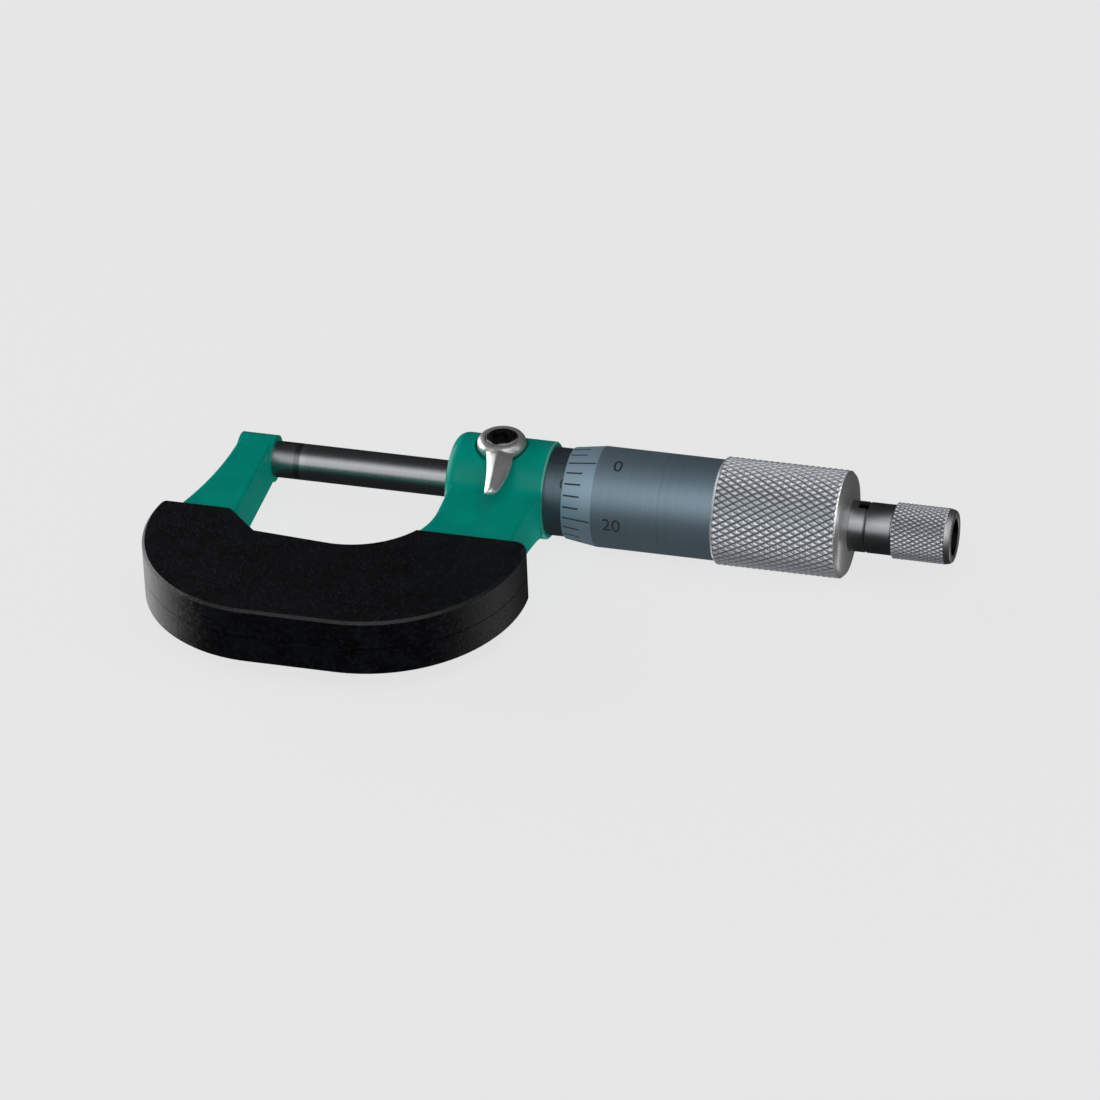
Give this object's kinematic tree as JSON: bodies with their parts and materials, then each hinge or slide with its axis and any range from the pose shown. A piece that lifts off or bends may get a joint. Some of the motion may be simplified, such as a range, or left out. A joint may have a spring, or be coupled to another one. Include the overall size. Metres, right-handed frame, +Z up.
{
  "type": "outside micrometer",
  "caption": "Outside micrometer with vernier sleeve: U frame with insulating covers, knurled thimble, ratchet stop and spindle lock lever.",
  "frame": {"origin": "middle of the object's box, on the surface that the knurled thimble stands on", "axes": "+X along the measuring axis from the anvil to the ratchet, +Y away from the open throat, +Z up through the front cover"},
  "size_m": [0.1336, 0.0624, 0.0194],
  "materials": {
    "frame_enamel": "smooth semi-gloss teal-green enamel",
    "cover_plastic": "finely grained black moulding",
    "ground_steel": "ground and lapped",
    "hard_tip": "lapped hard metal",
    "turned_steel": "turned",
    "satin_chrome": "satin chrome plate",
    "ratchet_steel": "satin chrome plate",
    "lever_nickel": "satin nickel plate",
    "black_steel": "black oxide",
    "pad_brass": "turned",
    "spring_steel": "drawn wire"
  },
  "bodies": {
    "frame": {"frame": "frame_enamel", "front_cover": "cover_plastic", "back_cover": "cover_plastic", "anvil": "ground_steel", "anvil_tip": "hard_tip", "inner_sleeve": "turned_steel", "adjusting_nut": "turned_steel", "sleeve": "satin_chrome", "lock_pad": "pad_brass"},
    "spindle_tip": {"spindle_tip": "hard_tip"},
    "thimble": {"spindle": "ground_steel", "thimble": "satin_chrome", "ratchet_base": "ratchet_steel", "ratchet_washer": "turned_steel", "ratchet_screw": "black_steel"},
    "ratchet_knob": {"ratchet_knob": "ratchet_steel", "ratchet_spring": "spring_steel"},
    "ratchet_ring": {"ratchet_ring": "turned_steel"},
    "lock_lever": {"lock_lever": "lever_nickel", "lock_screw": "black_steel", "lock_bolt": "turned_steel", "lock_washer": "turned_steel"}
  },
  "joints": [
    {"name": "spindle_travel", "type": "slide", "parent": "frame", "child": "spindle_tip", "axis": [1, 0, 0], "range_m": [0, 0.0254]},
    {"name": "thimble_turn", "type": "hinge", "parent": "spindle_tip", "child": "thimble", "pos_m": [0.01185, 0.02195, 0.0093], "axis": [1, 0, 0], "range_deg": [0, 14400]},
    {"name": "ratchet_turn", "type": "hinge", "parent": "thimble", "child": "ratchet_knob", "pos_m": [0.05685, 0.02195, 0.0093], "axis": [1, 0, 0], "continuous": true},
    {"name": "ratchet_click", "type": "slide", "parent": "ratchet_knob", "child": "ratchet_ring", "axis": [1, 0, 0], "range_m": [0, 0.0006], "stiffness_N_per_m": 600, "springref_m": -0.003, "deforming": ["ratchet_spring"]},
    {"name": "lock_swing", "type": "hinge", "parent": "frame", "child": "lock_lever", "pos_m": [-0.01235, 0.02195, 0.0173], "axis": [0, 0, 1], "range_deg": [-40, 15]}
  ],
  "couplings": [
    {"joint": "thimble_turn", "follows": "spindle_travel", "rad_per_m": 9894.8}
  ]
}
